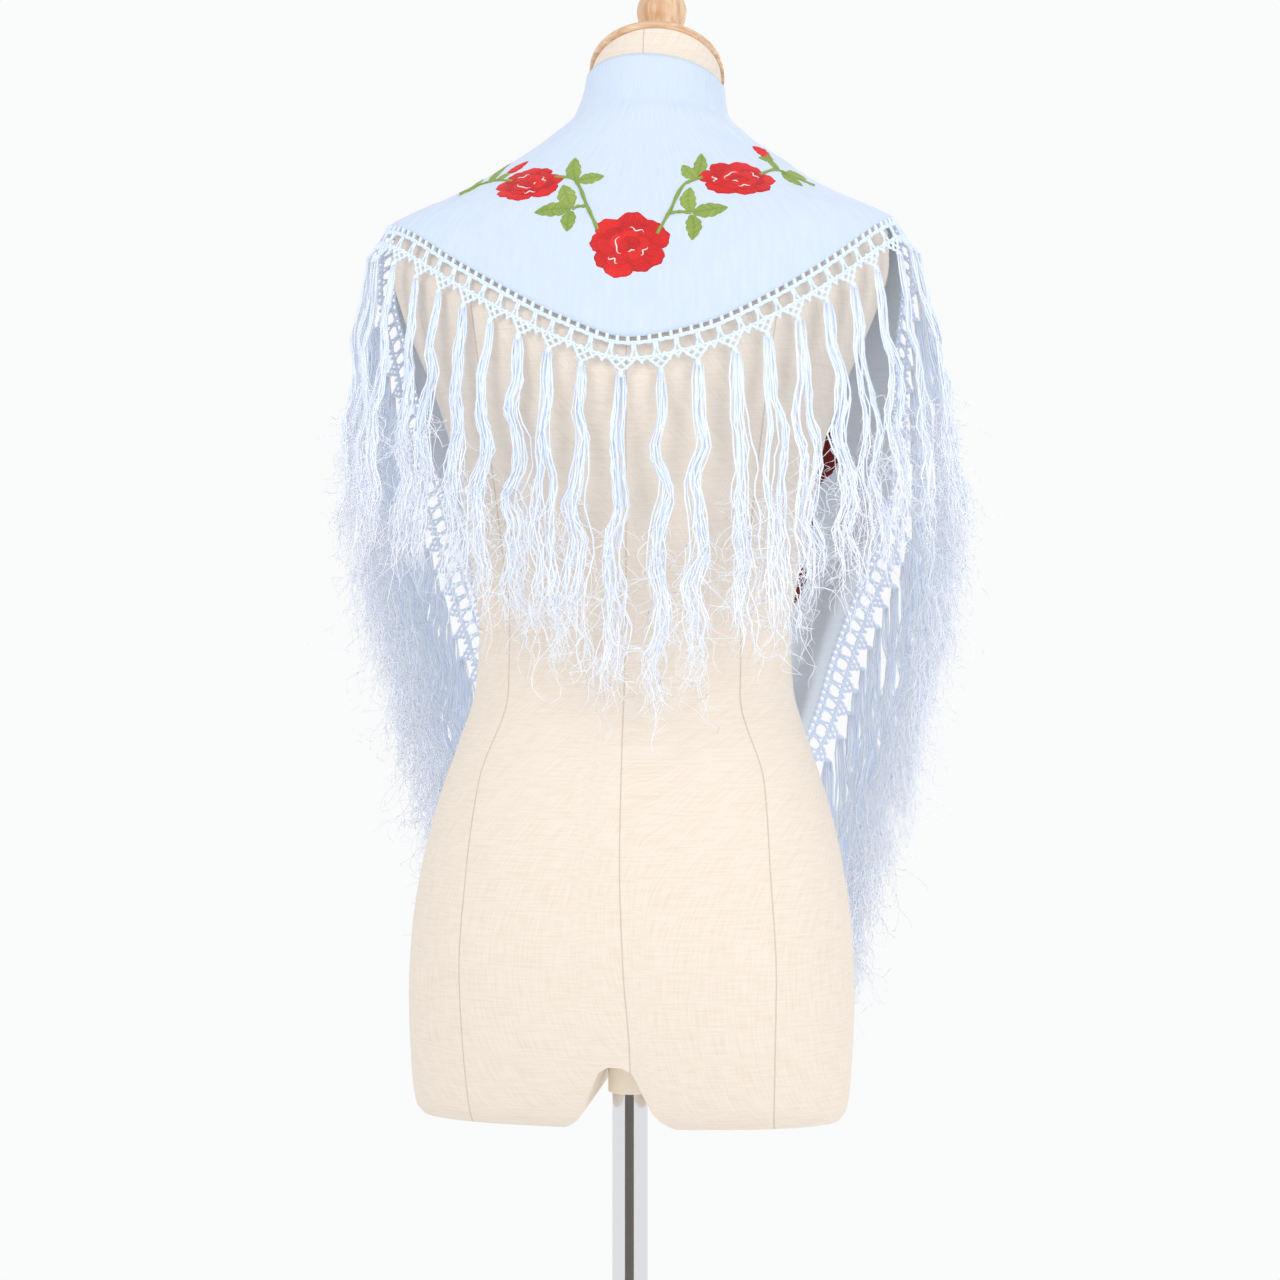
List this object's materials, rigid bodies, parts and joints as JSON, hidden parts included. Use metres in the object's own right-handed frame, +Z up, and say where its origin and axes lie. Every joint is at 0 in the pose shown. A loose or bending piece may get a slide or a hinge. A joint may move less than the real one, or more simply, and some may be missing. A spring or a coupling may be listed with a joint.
{
  "type": "flamenco shawl on a dress form",
  "caption": "Pointed embroidered shawl with a knotted band and long fringe, draped over the shoulders of a linen dress form that turns on a pole stand.",
  "frame": {"origin": "on the floor, at the centre of the underside of the round foot, on the pole's axis", "axes": "+Z up along the pole; +Y is the way the dress form faces, so its back is towards -Y; +X is the form's right"},
  "size_m": [0.5254, 0.38, 1.5509],
  "materials": {
    "chrome": "polished chrome plate",
    "linen": "plain woven linen cover",
    "wood": "turned pale wood, satin varnish",
    "socket_plastic": "cream moulded plastic",
    "crepe": "ice blue crepe",
    "rayon_cord": "crinkled ice blue rayon fringe yarn"
  },
  "bodies": {
    "stand": {"base_plate": "chrome", "pole": "chrome"},
    "form": {"pole_socket": "socket_plastic", "form_body": "linen", "neck_cap": "wood", "cap_knob": "wood", "shawl_back": "crepe", "shawl_front_right": "crepe", "shawl_front_left": "crepe", "band_back": "rayon_cord", "band_front_right": "rayon_cord", "band_front_left": "rayon_cord", "fringe_back": "rayon_cord", "fringe_front_right": "rayon_cord", "fringe_front_left": "rayon_cord"}
  },
  "joints": [
    {"name": "form_turn", "type": "hinge", "parent": "stand", "child": "form", "pos_m": [0, 0, 0.9], "axis": [0, 0, 1], "continuous": true}
  ]
}
